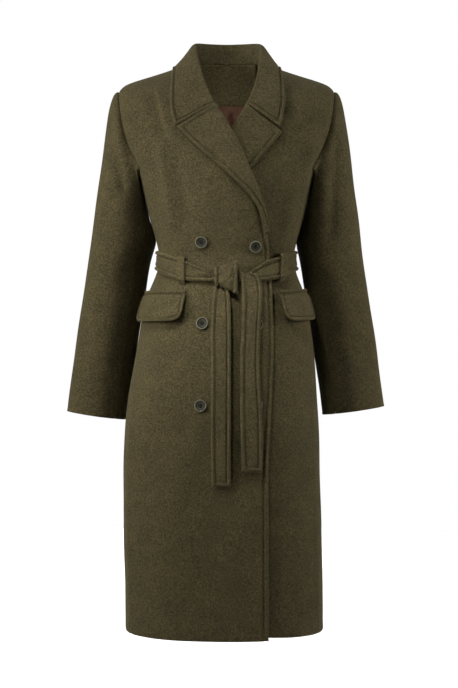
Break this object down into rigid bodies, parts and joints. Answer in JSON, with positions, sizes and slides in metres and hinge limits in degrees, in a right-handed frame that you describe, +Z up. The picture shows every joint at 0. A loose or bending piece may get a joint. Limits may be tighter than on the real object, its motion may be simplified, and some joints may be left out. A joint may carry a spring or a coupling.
{
  "type": "long coat",
  "caption": "Double-breasted long wool coat in its worn hollow shape, with notched lapels, flap pockets and a knotted tie belt; clothing that hangs or is worn.",
  "frame": {"origin": "inside the neck, just below the shoulder neck points, where a hanger or a wearer's shoulders hold the coat", "axes": "+Z up, -Y out of the front, +X towards the wearer's left"},
  "size_m": [0.643, 0.305, 1.1776],
  "materials": {
    "wool": "napped olive-brown wool",
    "lining": "smooth red-brown lining",
    "button": "satin dark grey-green"
  },
  "bodies": {
    "root": {"right_front": "wool", "left_front": "wool", "right_side_panel": "wool", "left_side_panel": "wool", "back": "wool", "right_upper_sleeve": "wool", "right_under_sleeve": "wool", "left_upper_sleeve": "wool", "left_under_sleeve": "wool", "collar": "wool", "right_lapel": "wool", "left_lapel": "wool", "back_neck_facing": "wool", "right_pocket_flap": "wool", "left_pocket_flap": "wool", "right_pocket_welt": "wool", "left_pocket_welt": "wool", "belt": "wool", "belt_knot": "wool", "belt_tuck": "wool", "belt_right_end": "wool", "belt_left_end": "wool", "right_belt_loop": "wool", "left_belt_loop": "wool", "back_lining": "lining", "button_top_right": "button", "button_top_left": "button", "button_middle_right": "button", "button_middle_left": "button", "button_bottom_right": "button", "button_bottom_left": "button"}
  },
  "joints": []
}
